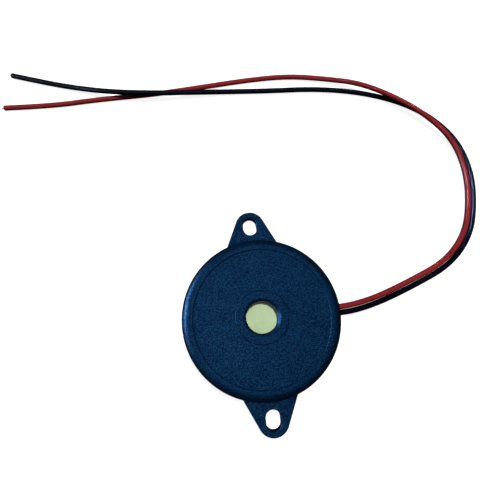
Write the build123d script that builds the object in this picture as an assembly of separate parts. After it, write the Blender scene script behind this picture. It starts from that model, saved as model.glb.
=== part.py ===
from build123d import *

import math
import os

# Round piezo buzzer with two mounting ears and two flying leads, in millimetres.
# The origin is the middle of the case's flat back. +Z leaves the sound hole, the ears
# lie along Y and the leads leave the side wall at +X.

# Case
side_wall = 1.3
face_wall = 1.2
wall_draft = 1.5
rim_edge_radius = 1.8
rim_width = 2.55
inner_corner_radius = 0.5

# Face, boss and sound hole
face_recess = 0.25
step_run = 0.12
step_edge_radius = 0.08
boss_width = 2.3
boss_height = 0.25
hole_diameter = 6.9
hole_flare = 0.6

# Ears
slot_width = 3.2
slot_length = 4.2
slot_to_case = 1.65
slot_edge_chamfer = 0.12
ear_side_wall = 1.8
ear_end_wall = 1.4
ear_flank_angle = 25.0
ear_thickness = 2.3
ear_edge_radius = 0.25
ear_corner_radius = 1.0

# Sounding plate and what is bonded to it
plate_diameter = 27.0
plate_thickness = 0.25
ceramic_margin = 3.5
ceramic_thickness = 0.2
electrode_margin = 0.7
electrode_thickness = 0.04
chamber_depth = 0.95
seat_width = 1.3
plate_clearance = 0.15
seat_ring_wall = 1.0
seat_ring_to_cover = 0.7
adhesive_reach = 0.6
adhesive_drop = 0.35

# Ribs between the seat ring and the side wall
rib_count = 8
rib_span = 1.55
rib_thickness = 0.8
rib_root = 0.4

# Back cover
cover_thickness = 0.8
cover_clearance = 0.1
cover_ledge = 0.4
cover_edge_chamfer = 0.15

# Leads
lead_diameter = 1.3
core_diameter = 0.5
lead_gap_at_exit = 0.2
lead_to_cover = 0.15
lead_to_electrode = 0.26
lead_to_joint = 0.7
bend_share = 0.45
crossing_clearance = 3.0
tip_length = 0.6

# Wire notch and the sealant that fills it
notch_side_margin = 0.55
notch_top_margin = 0.25
notch_corner_radius = 0.6
sealant_bulge = 0.55
sealant_depth = 0.35
sealant_back_gap = 0.05

# Solder joints
joint_from_electrode_edge = 2.4
joint_to_ceramic = 0.3
joint_side_shift = 0.4
solder_diameter = 2.0
solder_height = 0.75
solder_cover = 0.25
strand_lead_out = 0.5
strand_bend_radius = 0.4

# Across the case, worked out from the plate to the ears
lead_radius = lead_diameter / 2
plate_radius = plate_diameter / 2
ceramic_radius = plate_radius - ceramic_margin
electrode_radius = ceramic_radius - electrode_margin
pocket_radius = plate_radius + plate_clearance
chamber_radius = plate_radius - seat_width
seat_ring_radius = pocket_radius + seat_ring_wall
wall_inner_radius = seat_ring_radius + rib_span
cover_seat_radius = wall_inner_radius + cover_ledge
case_radius = wall_inner_radius + side_wall
ear_tip_radius = slot_width / 2 + ear_side_wall
slot_place = case_radius + slot_to_case + slot_length / 2
ear_tip_place = slot_place + slot_length / 2 + ear_end_wall - ear_tip_radius
hole_radius = hole_diameter / 2
boss_radius = hole_radius + boss_width

# Up through the case, worked out from the cover to the face
exit_height = cover_thickness + lead_to_cover + lead_radius
electrode_bottom = exit_height + lead_radius + lead_to_electrode
ceramic_bottom = electrode_bottom + electrode_thickness
plate_bottom = ceramic_bottom + ceramic_thickness
seat_height = plate_bottom + plate_thickness
seat_ring_bottom = cover_thickness + seat_ring_to_cover
ceiling_height = seat_height + chamber_depth
face_height = ceiling_height + face_wall
boss_top = face_height + boss_height
case_height = face_height + face_recess
top_radius = case_radius - (case_height - ear_thickness) * math.tan(math.radians(wall_draft))
face_radius = top_radius - rim_width

# Solder joints, notch and the leads' side-by-side places in it
ceramic_joint_place = electrode_radius - joint_from_electrode_edge
plate_joint_place = ceramic_radius + joint_to_ceramic + solder_diameter / 2
half_pitch = (lead_diameter + lead_gap_at_exit) / 2
joint_side = half_pitch + joint_side_shift
notch_width = 2 * half_pitch + lead_diameter + 2 * notch_side_margin
notch_height = exit_height + lead_radius + notch_top_margin

# Route points of the leads, from the solder side through the wall to the free end. Each
# hump passes over the other lead and has two points at its top.
stub = solder_diameter / 2 + lead_to_joint
floor = lead_radius
hump = floor + lead_diameter + crossing_clearance
red_route = [
    (ceramic_joint_place + stub, joint_side, exit_height),
    (pocket_radius, half_pitch, exit_height),
    (20.0, 0.72, exit_height - 0.1),
    (27.5, 1.75, floor + 0.1),
    (36.0, 4.7, floor),
    (45.2, 8.3, floor),
    (51.45, 14.45, floor),
    (54.6, 22.1, floor),
    (56.0, 30.5, floor),
    (54.6, 38.1, floor + 0.7),
    (50.4, 43.9, floor + 1.95),
    (44.0, 50.0, hump),
    (33.8, 56.5, hump),
    (24.9, 60.0, floor),
    (15.0, 61.9, floor),
    (4.0, 61.7, floor),
    (-8.0, 60.7, floor),
    (-21.0, 59.75, floor),
    (-34.5, 59.6, floor),
    (-47.0, 58.85, floor),
    (-58.3, 59.4, floor),
]
black_route = [
    (plate_joint_place + stub, -joint_side, exit_height),
    (wall_inner_radius, -half_pitch, exit_height),
    (21.0, -0.68, exit_height - 0.1),
    (27.5, 0.36, floor + 0.1),
    (36.5, 3.2, floor),
    (46.3, 7.45, floor),
    (53.1, 13.9, floor),
    (55.9, 21.75, floor),
    (57.4, 30.4, floor),
    (55.85, 39.0, floor),
    (50.8, 45.5, floor),
    (44.8, 50.6, floor),
    (37.2, 54.0, floor),
    (29.0, 56.2, floor),
    (20.0, 57.5, floor),
    (10.5, 57.9, floor),
    (0.5, 58.6, floor),
    (-9.5, 58.9, floor + 0.95),
    (-19.5, 58.8, hump),
    (-31.0, 60.2, hump),
    (-41.0, 63.7, floor),
    (-49.5, 66.3, floor),
    (-56.7, 68.8, floor),
]


def turned(outline, rounded=()):
    """Solid turned about Z from (radius, height) corners, some of them rounded.

    rounded holds (corner, radius) pairs.
    """
    section = make_face(Polyline(*[(r, 0, z) for r, z in outline], close=True))
    for corner, radius in rounded:
        vertex = section.vertices().sort_by_distance((corner[0], 0, corner[1]))[0]
        section = fillet(vertex, radius)
    return revolve(section, Axis.Z)


def outer_form():
    """Corners of the housing's outside, from its back edge to the rim's top."""
    return [(case_radius, 0), (case_radius, ear_thickness), (top_radius, case_height)]


def case_shell():
    """The round housing with its rim, face, boss, hole, plate seat and cover seat."""
    rim_outer = outer_form()[-1]
    rim_inner = (face_radius + step_run, case_height)
    boss_edge = (boss_radius, boss_top)
    inner_corner = (wall_inner_radius, ceiling_height)
    outline = [
        *outer_form(),
        rim_inner,
        (face_radius, face_height),
        (boss_radius + step_run, face_height),
        boss_edge,
        (hole_radius + hole_flare, boss_top),
        (hole_radius, boss_top - hole_flare),
        (hole_radius, ceiling_height),
        (chamber_radius, ceiling_height),
        (chamber_radius, seat_height),
        (pocket_radius, seat_height),
        (pocket_radius, seat_ring_bottom),
        (seat_ring_radius, seat_ring_bottom),
        (seat_ring_radius, ceiling_height),
        inner_corner,
        (wall_inner_radius, cover_thickness),
        (cover_seat_radius, cover_thickness),
        (cover_seat_radius, 0),
    ]
    rounded = [
        (rim_outer, rim_edge_radius),
        (rim_inner, step_edge_radius),
        (boss_edge, step_edge_radius),
        (inner_corner, inner_corner_radius),
    ]
    return turned(outline, rounded)


def ear_plates():
    """Both ears: tapered flanks that run into the round wall, open inside the wall."""
    root_radius = ear_tip_radius + ear_tip_place * math.sin(math.radians(ear_flank_angle))
    circles = [Circle(root_radius)]
    for side in (1, -1):
        circles.append(Pos(0, side * ear_tip_place) * Circle(ear_tip_radius))
    tapered = make_hull([edge for circle in circles for edge in circle.edges()])
    outline = tapered + Circle(case_radius)
    corners = [v for v in outline.vertices() if abs(Vector(v.X, v.Y).length - case_radius) < 0.01]
    outline = fillet(corners, ear_corner_radius)
    plate = extrude(outline, ear_thickness)
    plate = fillet(plate.edges().group_by(Axis.Z)[-1], ear_edge_radius)
    return plate - Cylinder(case_radius - side_wall / 2, 4 * ear_thickness)


def slot_cutters():
    """The two long holes in the ears, long towards the case, with broken top edges."""
    cutters = []
    for side in (1, -1):
        slot = Pos(0, side * slot_place) * SlotOverall(slot_length, slot_width, rotation=90)
        hole = Pos(0, 0, -ear_thickness) * extrude(slot, 3 * ear_thickness)
        flare_start = Pos(0, 0, ear_thickness - slot_edge_chamfer) * slot
        flare = extrude(flare_start, 2 * slot_edge_chamfer, taper=-45)
        cutters.append(hole + flare)
    return cutters


def stiffening_ribs():
    """Radial ribs from the seat ring to the side wall; the leads pass between two."""
    inner = seat_ring_radius - rib_root
    outer = wall_inner_radius + rib_root
    height = ceiling_height + rib_root - cover_thickness
    middle = (inner + outer) / 2
    rib = Pos(middle, 0, cover_thickness + height / 2) * Box(outer - inner, rib_thickness, height)
    step = 360 / rib_count
    return [Rot(0, 0, step * (k + 0.5)) * rib for k in range(rib_count)]


def wire_notch():
    """Prism of the wire notch along +X, open towards the back, with rounded top corners."""
    middle = Plane.YZ * Pos(0, notch_height / 2 - cover_thickness)
    section = middle * Rectangle(notch_width, notch_height + 2 * cover_thickness)
    section = fillet(section.vertices().group_by(Axis.Z)[-1], notch_corner_radius)
    return extrude(section, 2 * case_radius)


def front_case():
    """The moulded housing with its ears, slots, ribs and wire notch."""
    body = case_shell() + ear_plates() + stiffening_ribs()
    body -= slot_cutters()
    return body - (wire_notch() - Cylinder(pocket_radius - plate_clearance, 4 * case_height))


def back_cover():
    """Flat disc that closes the back and lies flush with the case's rear edge."""
    disc = extrude(Circle(cover_seat_radius - cover_clearance), cover_thickness)
    return chamfer(disc.edges().group_by(Axis.Z)[0], cover_edge_chamfer)


def flat_disc(radius, thickness, bottom):
    """A plain disc on the Z axis."""
    return Pos(0, 0, bottom) * extrude(Circle(radius), thickness)


def diaphragm_adhesive():
    """Bead of elastic glue round the plate's edge, between the plate and the seat ring."""
    outline = [
        (plate_radius - adhesive_reach, plate_bottom),
        (plate_radius, plate_bottom),
        (plate_radius, seat_height),
        (pocket_radius, seat_height),
        (pocket_radius, plate_bottom - adhesive_drop),
    ]
    return turned(outline)


def bend_radii(route):
    """For each inner point, the largest arc that its two runs leave room for."""
    radii = []
    for before, here, after in zip(route, route[1:], route[2:]):
        run_in = Vector(here) - Vector(before)
        run_out = Vector(after) - Vector(here)
        half_turn = math.radians(run_in.get_angle(run_out)) / 2
        radii.append(bend_share * min(run_in.length, run_out.length) / math.tan(half_turn))
    return radii


def lead(name, route):
    """One insulated lead as straight runs joined by tangent arcs."""
    radii = bend_radii(route)
    path = FilletPolyline(*route, radius=radii)
    start = Plane(origin=path @ 0, z_dir=path % 0)
    tube = sweep(start * Circle(lead_radius), path)
    expected = math.pi * lead_radius**2 * path.length
    print(name, "length", round(path.length, 1), "volume ratio", round(tube.volume / expected, 4))
    print(name, "bend radii", [round(radius, 1) for radius in radii])
    return tube


def end_core(route):
    """Core that stands out of the lead's cut end, in line with its last run."""
    end = Vector(route[-1])
    direction = (end - Vector(route[-2])).normalized()
    return extrude(Plane(origin=end, z_dir=direction) * Circle(core_diameter / 2), tip_length)


def bare_strands(route, joint_place, surface):
    """Bare inner end of a lead, from its insulation up to the joint under a surface."""
    start = Vector(route[0])
    straight = (start - Vector(route[1])).normalized() * strand_lead_out
    joint_height = surface - solder_cover - core_diameter / 2
    over_joint = Vector(joint_place + strand_lead_out, start.Y, joint_height)
    end = Vector(joint_place - strand_lead_out, start.Y, joint_height)
    path = FilletPolyline(start, start + straight, over_joint, end, radius=strand_bend_radius)
    section = Plane(origin=path @ 0, z_dir=path % 0) * Circle(core_diameter / 2)
    return sweep(section, path)


def solder_joint(route, joint_place, surface, strands):
    """Low dome of solder under a surface, with the strands through it."""
    radius = solder_diameter / 2
    ball_radius = (radius**2 + solder_height**2) / (2 * solder_height)
    place = Pos(joint_place, route[0][1], surface - solder_height)
    dome = Sphere(ball_radius) & Pos(0, 0, -ball_radius + solder_height / 2) * Box(
        solder_diameter, solder_diameter, solder_height
    )
    return place * Pos(0, 0, ball_radius) * dome - strands


def exit_sealant(leads):
    """Sealant that fills the wire notch round the leads and bulges a little outside."""
    outside = turned([(0, 0), *outer_form(), (0, case_height)])
    plug = wire_notch() & outside
    plug -= Cylinder(wall_inner_radius, 4 * case_height)
    plug -= Cylinder(cover_seat_radius, 2 * cover_thickness)
    half_sizes = (sealant_bulge + sealant_depth, notch_width / 2, notch_height / 2 - sealant_back_gap)
    dab = scale(Sphere(1), by=half_sizes)
    dab = Pos(case_radius - sealant_depth, 0, notch_height / 2) * dab - outside
    return plug + dab - leads


red_lead = lead("red_lead", red_route)
black_lead = lead("black_lead", black_route)
red_strands = bare_strands(red_route, ceramic_joint_place, electrode_bottom)
black_strands = bare_strands(black_route, plate_joint_place, plate_bottom)

nodes = {
    "front_case": front_case(),
    "back_cover": back_cover(),
    "diaphragm_plate": flat_disc(plate_radius, plate_thickness, plate_bottom),
    "piezo_ceramic": flat_disc(ceramic_radius, ceramic_thickness, ceramic_bottom),
    "silver_electrode": flat_disc(electrode_radius, electrode_thickness, electrode_bottom),
    "diaphragm_adhesive": diaphragm_adhesive(),
    "exit_sealant": exit_sealant([red_lead, black_lead]),
    "red_lead": red_lead,
    "black_lead": black_lead,
    "red_lead_strands": red_strands,
    "black_lead_strands": black_strands,
    "solder_joint_ceramic": solder_joint(red_route, ceramic_joint_place, electrode_bottom, red_strands),
    "solder_joint_plate": solder_joint(black_route, plate_joint_place, plate_bottom, black_strands),
    "red_lead_tip": end_core(red_route),
    "black_lead_tip": end_core(black_route),
}

os.makedirs("parts", exist_ok=True)
for name, solid in nodes.items():
    export_step(solid, f"parts/{name}.step")
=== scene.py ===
import math

import bpy
from mathutils import Matrix, Vector


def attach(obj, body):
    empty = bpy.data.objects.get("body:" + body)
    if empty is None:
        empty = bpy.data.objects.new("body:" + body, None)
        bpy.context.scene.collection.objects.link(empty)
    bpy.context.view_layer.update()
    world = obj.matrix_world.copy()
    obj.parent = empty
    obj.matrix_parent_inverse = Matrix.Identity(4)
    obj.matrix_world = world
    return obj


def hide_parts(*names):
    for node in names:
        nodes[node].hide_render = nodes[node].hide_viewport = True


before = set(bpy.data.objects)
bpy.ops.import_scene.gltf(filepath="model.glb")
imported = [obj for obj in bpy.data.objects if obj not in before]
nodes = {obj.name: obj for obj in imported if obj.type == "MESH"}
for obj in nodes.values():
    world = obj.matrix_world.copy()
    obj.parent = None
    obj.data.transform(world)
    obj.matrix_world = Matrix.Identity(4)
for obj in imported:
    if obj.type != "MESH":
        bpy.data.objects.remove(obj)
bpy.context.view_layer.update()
scene = bpy.context.scene
scene.view_settings.view_transform = "Standard"

# Bare strands at the leads' ends: lengths in metres, reaches as shares of the bare length
STRAND_COUNT = 7
STRAND_DIAMETER = 0.00016
STRAND_LAY = 0.00017
STRAND_TWIST = math.radians(150)
STRAND_SPLAY = 0.5
STRAND_ROOT = 0.0003
STRAND_STEPS = 6
BARE_LENGTH = 0.0009
MEAN_REACH = 0.8
REACH_CHANGE = 0.2
REACH_PHASE = 2.4
HAIR_LENGTH = 0.0007

# Leads, in metres: routes near those of the CAD tubes, side by side from the case to the bend
LEAD_DIAMETER = 0.0013
RED_ROUTE = [
    (0.0086, 0.00115, 0.0016),
    (0.01365, 0.00075, 0.0016),
    (0.02002, 0.00047, 0.0015),
    (0.02747, 0.00188, 0.00075),
    (0.03604, 0.00477, 0.00065),
    (0.04525, 0.00836, 0.00065),
    (0.05163, 0.01444, 0.00065),
    (0.0546, 0.02198, 0.00065),
    (0.05603, 0.0305, 0.00065),
    (0.05461, 0.03814, 0.0013),
    (0.0504, 0.0439, 0.0023),
    (0.044, 0.05, 0.0026),
    (0.0338, 0.0565, 0.0026),
    (0.0249, 0.06, 0.0009),
    (0.015, 0.0619, 0.00065),
    (0.004, 0.0617, 0.00065),
    (-0.008, 0.0607, 0.00065),
    (-0.021, 0.05975, 0.00065),
    (-0.0345, 0.0596, 0.00065),
    (-0.047, 0.05885, 0.00065),
    (-0.0583, 0.0594, 0.00065),
]
BLACK_ROUTE = [
    (0.013, -0.00115, 0.0016),
    (0.0162, -0.00075, 0.0016),
    (0.02098, -0.00072, 0.0015),
    (0.02753, 0.00055, 0.00075),
    (0.03647, 0.0035, 0.00065),
    (0.04626, 0.00739, 0.00065),
    (0.0529, 0.01392, 0.00065),
    (0.05592, 0.02186, 0.00065),
    (0.05737, 0.03041, 0.00065),
    (0.05584, 0.03896, 0.00065),
    (0.0511, 0.0458, 0.00065),
    (0.0448, 0.0506, 0.00065),
    (0.0372, 0.054, 0.00065),
    (0.029, 0.0562, 0.00065),
    (0.02, 0.0575, 0.00065),
    (0.0105, 0.0579, 0.00065),
    (0.0005, 0.0586, 0.00065),
    (-0.0095, 0.0589, 0.0013),
    (-0.0195, 0.0588, 0.0025),
    (-0.031, 0.0602, 0.0025),
    (-0.041, 0.0637, 0.00065),
    (-0.0495, 0.0663, 0.00065),
    (-0.0567, 0.0688, 0.00065),
]


class Nodes:
    """A material's node tree with short calls for the nodes that the finishes use."""

    def __init__(self, name):
        self.material = bpy.data.materials.new(name)
        self.material.use_nodes = True
        self.tree = self.material.node_tree
        self.shader = self.tree.nodes["Principled BSDF"]
        self.place = self.tree.nodes.new("ShaderNodeTexCoord").outputs["Object"]

    def add(self, kind, inputs):
        """A new node with values or links on its inputs."""
        node = self.tree.nodes.new(kind)
        for key, value in inputs.items():
            if isinstance(value, bpy.types.NodeSocket):
                self.tree.links.new(value, node.inputs[key])
            else:
                node.inputs[key].default_value = value
        return node

    def link(self, socket, name):
        """Links a node's output to an input of the shader."""
        self.tree.links.new(socket, self.shader.inputs[name])

    def set(self, **values):
        """Uniform values on the shader's own inputs, with _ for a space in their names."""
        for key, value in values.items():
            self.shader.inputs[key.replace("_", " ")].default_value = value

    def noise(self, size, detail=2.0):
        """Noise whose features are about size metres wide."""
        inputs = {"Vector": self.place, "Scale": 1 / size, "Detail": detail}
        return self.add("ShaderNodeTexNoise", inputs).outputs["Fac"]

    def ramp(self, factor, low, high, reach=0.2):
        """A colour between two, for a factor that is within reach of a half."""
        node = self.add("ShaderNodeValToRGB", {"Fac": factor})
        node.color_ramp.elements[0].position = 0.5 - reach
        node.color_ramp.elements[0].color = (*low, 1)
        node.color_ramp.elements[1].position = 0.5 + reach
        node.color_ramp.elements[1].color = (*high, 1)
        return node.outputs["Color"]

    def spread(self, factor, low, high):
        """A number between two, for a factor's middle range."""
        inputs = {"Value": factor, "From Min": 0.3, "From Max": 0.7, "To Min": low, "To Max": high}
        return self.add("ShaderNodeMapRange", inputs).outputs["Result"]

    def bump(self, height, depth):
        """Relief of up to depth metres."""
        inputs = {"Height": height, "Distance": depth, "Strength": 1.0}
        return self.add("ShaderNodeBump", inputs).outputs["Normal"]


# Tints of the moulding's sheen, in the hollows of its grain and on its tops
SHEEN_LOW = (0.015, 0.14, 0.58)
SHEEN_HIGH = (0.085, 0.43, 1.0)


def housing_plastic(name, low, high, grain, depth):
    """Dark navy moulding with a fine spark-eroded grain that catches blue light."""
    m = Nodes(name)
    m.set(Specular_IOR_Level=1.0)
    speckle = m.noise(grain, 1.0)
    cloud = m.noise(0.004, 3.0)
    tone = m.add("ShaderNodeMix", {"Factor": 0.15, "A": speckle, "B": cloud}).outputs["Result"]
    m.link(m.ramp(tone, low, high, 0.1), "Base Color")
    m.link(m.ramp(tone, SHEEN_LOW, SHEEN_HIGH, 0.1), "Specular Tint")
    m.link(m.spread(speckle, 0.56, 0.36), "Roughness")
    m.link(m.bump(speckle, depth), "Normal")
    return m.material


def lead_insulation(name, low, high, tint):
    """Extruded insulation, satin, slightly uneven in tone, gloss and form."""
    m = Nodes(name)
    m.set(Specular_IOR_Level=0.24, Specular_Tint=tint)
    m.link(m.ramp(m.noise(0.004), low, high), "Base Color")
    m.link(m.spread(m.noise(0.0009), 0.3, 0.42), "Roughness")
    m.link(m.bump(m.noise(0.0006), 0.00002), "Normal")
    return m.material


def metal(name, low, high, rough, patch, depth, metallic=1.0):
    """Bare metal with uneven tone, partly matt where its metallic share is under one."""
    m = Nodes(name)
    m.set(Metallic=metallic)
    m.link(m.ramp(m.noise(patch, 3.0), low, high), "Base Color")
    m.link(m.spread(m.noise(patch / 3), rough[0], rough[1]), "Roughness")
    m.link(m.bump(m.noise(patch / 6), depth), "Normal")
    return m.material


def dull(name, low, high, rough, patch, depth):
    """A plain non-metal finish with uneven tone, such as fired ceramic or cured glue."""
    m = Nodes(name)
    m.set(Specular_IOR_Level=0.4)
    m.link(m.ramp(m.noise(patch, 3.0), low, high), "Base Color")
    m.link(m.spread(m.noise(patch / 2), rough[0], rough[1]), "Roughness")
    m.link(m.bump(m.noise(patch / 4), depth), "Normal")
    return m.material


finishes = {
    "front_case": housing_plastic(
        "housing_plastic", low=(0.0001, 0.001, 0.003), high=(0.0006, 0.008, 0.023),
        grain=0.0003, depth=0.00005,
    ),
    "back_cover": housing_plastic(
        "cover_plastic", low=(0.0005, 0.006, 0.022), high=(0.0012, 0.012, 0.04),
        grain=0.0002, depth=0.00001,
    ),
    "diaphragm_plate": metal(
        "plate_brass", low=(0.37, 0.49, 0.29), high=(0.46, 0.57, 0.35),
        rough=(0.5, 0.6), patch=0.003, depth=0.000001, metallic=0.05,
    ),
    "piezo_ceramic": dull(
        "piezo_ceramic", low=(0.5, 0.45, 0.33), high=(0.6, 0.55, 0.42),
        rough=(0.6, 0.8), patch=0.0012, depth=0.000006,
    ),
    "silver_electrode": metal(
        "silver_film", low=(0.72, 0.71, 0.67), high=(0.85, 0.84, 0.8),
        rough=(0.4, 0.55), patch=0.001, depth=0.000004,
    ),
    "diaphragm_adhesive": dull(
        "clear_silicone", low=(0.55, 0.56, 0.52), high=(0.68, 0.69, 0.64),
        rough=(0.25, 0.4), patch=0.0015, depth=0.00002,
    ),
    "exit_sealant": dull(
        "lead_sealant", low=(0.006, 0.007, 0.012), high=(0.014, 0.016, 0.026),
        rough=(0.3, 0.5), patch=0.0009, depth=0.00003,
    ),
    "red_lead_strands": metal(
        "tinned_copper", low=(0.4, 0.35, 0.31), high=(0.6, 0.56, 0.52),
        rough=(0.25, 0.4), patch=0.0003, depth=0.00001,
    ),
    "solder_joint_ceramic": metal(
        "solder", low=(0.6, 0.6, 0.6), high=(0.76, 0.76, 0.75),
        rough=(0.2, 0.36), patch=0.0008, depth=0.00002,
    ),
}
finishes["solder_joint_plate"] = finishes["solder_joint_ceramic"]
for name in ("black_lead_strands", "red_lead_tip", "black_lead_tip"):
    finishes[name] = finishes["red_lead_strands"]
insulations = {
    "red_lead": lead_insulation(
        "red_insulation", low=(0.165, 0.0115, 0.014), high=(0.23, 0.0175, 0.0205),
        tint=(0.8, 0.44, 0.6, 1.0),
    ),
    "black_lead": lead_insulation(
        "black_insulation", low=(0.0006, 0.0006, 0.0016), high=(0.0016, 0.0016, 0.004),
        tint=(0.3, 0.44, 0.8, 1.0),
    ),
}
for name, finish in {**finishes, **insulations}.items():
    nodes[name].data.materials.clear()
    nodes[name].data.materials.append(finish)


def bare_end(name, node, route, hair):
    """The twisted strands that stand out of a lead's cut end, one of them longer by hair."""
    end = Vector(route[-1])
    along = (end - Vector(route[-2])).normalized()
    across = along.cross((0, 0, 1)).normalized()
    up = across.cross(along)
    curve = bpy.data.curves.new(name, "CURVE")
    curve.dimensions = "3D"
    curve.bevel_depth = STRAND_DIAMETER / 2
    curve.bevel_resolution = 3
    curve.use_fill_caps = True
    for strand in range(STRAND_COUNT):
        lay = 0.0 if strand == 0 else STRAND_LAY
        start = 2 * math.pi * strand / (STRAND_COUNT - 1)
        reach = BARE_LENGTH * (MEAN_REACH + REACH_CHANGE * math.sin(REACH_PHASE * strand))
        if strand == 1:
            reach += hair
        spline = curve.splines.new("NURBS")
        spline.points.add(STRAND_STEPS)
        for step, point in enumerate(spline.points):
            share = step / STRAND_STEPS
            turn = start + STRAND_TWIST * share
            wide = lay * (1 + STRAND_SPLAY * share**2)
            side = across * math.cos(turn) + up * math.sin(turn)
            point.co = (*(end + along * (reach * share - STRAND_ROOT) + side * wide), 1)
        spline.order_u = 3
        spline.use_endpoint_u = True
    piece = bpy.data.objects.new(name, curve)
    scene.collection.objects.link(piece)
    curve.materials.append(finishes[node])
    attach(piece, "root")
    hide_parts(node)
    return piece


def lead(name, node, route, hair):
    """A free lead as a smooth spline through its room, in place of its CAD tube."""
    curve = bpy.data.curves.new(name, "CURVE")
    curve.dimensions = "3D"
    spline = curve.splines.new("NURBS")
    spline.points.add(len(route) - 1)
    for point, place in zip(spline.points, route):
        point.co = (*place, 1)
    spline.order_u = 3
    spline.use_endpoint_u = True
    spline.resolution_u = 12
    curve.bevel_depth = LEAD_DIAMETER / 2
    curve.bevel_resolution = 5
    curve.use_fill_caps = True
    piece = bpy.data.objects.new(name, curve)
    scene.collection.objects.link(piece)
    curve.materials.append(insulations[node])
    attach(piece, "root")
    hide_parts(node)
    bare_end(name + "_strands", node + "_tip", route, hair)


lead("red_wire", "red_lead", RED_ROUTE, hair=0.0)
lead("black_wire", "black_lead", BLACK_ROUTE, hair=HAIR_LENGTH)

# Floor: flat round the object, and a cove far away. Only the camera sees it.
FLAT_RADIUS = 0.8
COVE_RADIUS = 1.2
COVE_STEPS = 12
SIDES = 64
FLOOR_DROP = 0.00004
FLOOR_GLOW = 0.88
corners = []
faces = [list(range(SIDES))]
for step in range(COVE_STEPS + 1):
    rise = math.radians(90 * step / COVE_STEPS)
    radius = FLAT_RADIUS + COVE_RADIUS * math.sin(rise)
    lift = COVE_RADIUS * (1 - math.cos(rise))
    for side in range(SIDES):
        around = 2 * math.pi * side / SIDES
        corners.append((radius * math.cos(around), radius * math.sin(around), lift))
for ring in range(COVE_STEPS):
    for side in range(SIDES):
        near = ring * SIDES + side
        far = ring * SIDES + (side + 1) % SIDES
        faces.append([near, near + SIDES, far + SIDES, far])
floor_mesh = bpy.data.meshes.new("floor")
floor_mesh.from_pydata(corners, [], faces)
floor_mesh.shade_smooth()
floor_mesh.polygons[0].use_smooth = False
floor = bpy.data.objects.new("floor", floor_mesh)
floor.location.z = -FLOOR_DROP
scene.collection.objects.link(floor)
floor.visible_diffuse = False
floor.visible_glossy = False
floor.visible_shadow = False
floor_paint = Nodes("floor_paint")
floor_tone = floor_paint.ramp(floor_paint.noise(0.05), (0.42, 0.42, 0.42), (0.45, 0.45, 0.45))
floor_paint.link(floor_tone, "Base Color")
floor_paint.set(Specular_IOR_Level=0.0, Roughness=0.9)
floor_paint.set(Emission_Color=(1.0, 1.0, 1.0, 1.0), Emission_Strength=FLOOR_GLOW)
floor_mesh.materials.append(floor_paint.material)

# Room: dim all round, paler overhead and dark below the floor
ROOM_BELOW = (0.01, 0.012, 0.016)
ROOM_ABOVE = (0.16, 0.165, 0.175)
ROOM_GREYS = ((0.4, 0.01), (0.5, 0.03), (0.7, 0.03), (0.88, 0.12))
world = bpy.data.worlds.new("studio")
scene.world = world
world.use_nodes = True
sky = world.node_tree
direction = sky.nodes.new("ShaderNodeTexCoord")
axes = sky.nodes.new("ShaderNodeSeparateXYZ")
sky.links.new(direction.outputs["Generated"], axes.inputs[0])
height = sky.nodes.new("ShaderNodeMapRange")
height.inputs["From Min"].default_value = -1.0
sky.links.new(axes.outputs["Z"], height.inputs["Value"])
tone = sky.nodes.new("ShaderNodeValToRGB")
tone.color_ramp.elements[0].position = 0.0
tone.color_ramp.elements[0].color = (*ROOM_BELOW, 1)
tone.color_ramp.elements[1].position = 1.0
tone.color_ramp.elements[1].color = (*ROOM_ABOVE, 1)
for level, grey in ROOM_GREYS:
    tone.color_ramp.elements.new(level).color = (grey, grey, grey * 1.05, 1)
sky.links.new(height.outputs["Result"], tone.inputs["Fac"])
sky.links.new(tone.outputs["Color"], sky.nodes["Background"].inputs["Color"])


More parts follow.
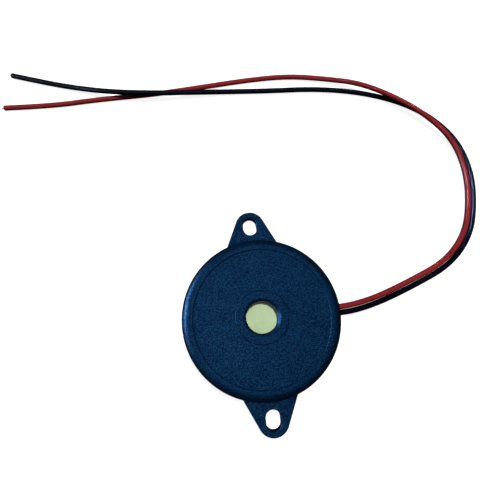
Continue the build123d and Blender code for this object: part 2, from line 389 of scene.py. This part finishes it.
def softbox(name, place, aim, size, power, colour, gloss=True, fill=True, spread=180):
    """An area light of power watts at place, turned to aim, in a cone of spread degrees.

    gloss says whether glossy surfaces show it, fill whether it lights matt ones.
    """
    lamp = bpy.data.lights.new(name, "AREA")
    lamp.spread = math.radians(spread)
    lamp.shape = "RECTANGLE"
    lamp.size, lamp.size_y = size
    lamp.energy = power
    lamp.color = colour
    piece = bpy.data.objects.new(name, lamp)
    piece.location = place
    piece.rotation_mode = "QUATERNION"
    piece.rotation_quaternion = (Vector(aim) - Vector(place)).to_track_quat("-Z", "Y")
    piece.visible_camera = False
    piece.visible_glossy = gloss
    piece.visible_diffuse = fill
    scene.collection.objects.link(piece)


softbox(
    "top_light", place=(0.04, 0.15, 0.55), aim=(0.0, 0.02, 0.0), size=(0.06, 0.06),
    power=3.55, colour=(1.0, 0.99, 0.96), gloss=False,
)
softbox(
    "ceiling", place=(0.0, 0.03, 0.56), aim=(0.0, 0.0, 0.0), size=(0.32, 0.32),
    power=0.6, colour=(0.94, 0.97, 1.0), fill=False,
)
softbox(
    "back_window", place=(-0.16, 0.28, 0.42), aim=(0.064, 0.034, 0.0), size=(0.05, 0.05),
    power=0.044, colour=(0.8, 0.9, 1.0), fill=False, spread=10,
)
softbox(
    "left_window", place=(-0.38, 0.11, 0.17), aim=(0.0, 0.0, 0.0), size=(0.2, 0.08),
    power=2.8, colour=(0.86, 0.93, 1.0), fill=False,
)

# Camera at the photograph's angle, fitted to the outlines in it
AZIMUTH = math.radians(12.14)
ELEVATION = math.radians(75.76)
ROLL = math.radians(5.9)
CAMERA_AIM = Vector((-0.00256, 0.0188, 0.0))
CAMERA_DISTANCE = 0.09481
LENS_LENGTH = 29.76
SENSOR_WIDTH = 36.0
back = Vector((
    -math.sin(AZIMUTH) * math.cos(ELEVATION),
    -math.cos(AZIMUTH) * math.cos(ELEVATION),
    math.sin(ELEVATION),
))
level_right = Vector((math.cos(AZIMUTH), -math.sin(AZIMUTH), 0))
level_up = level_right.cross(-back)
right = math.cos(ROLL) * level_right + math.sin(ROLL) * level_up
up = math.cos(ROLL) * level_up - math.sin(ROLL) * level_right
lens = bpy.data.cameras.new("camera")
lens.lens = LENS_LENGTH
lens.sensor_width = SENSOR_WIDTH
lens.clip_start = 0.001
lens.clip_end = 20.0
camera = bpy.data.objects.new("camera", lens)
turn = Matrix((right, up, back)).transposed().to_4x4()
camera.matrix_world = Matrix.Translation(CAMERA_AIM + back * CAMERA_DISTANCE) @ turn
scene.collection.objects.link(camera)
scene.camera = camera
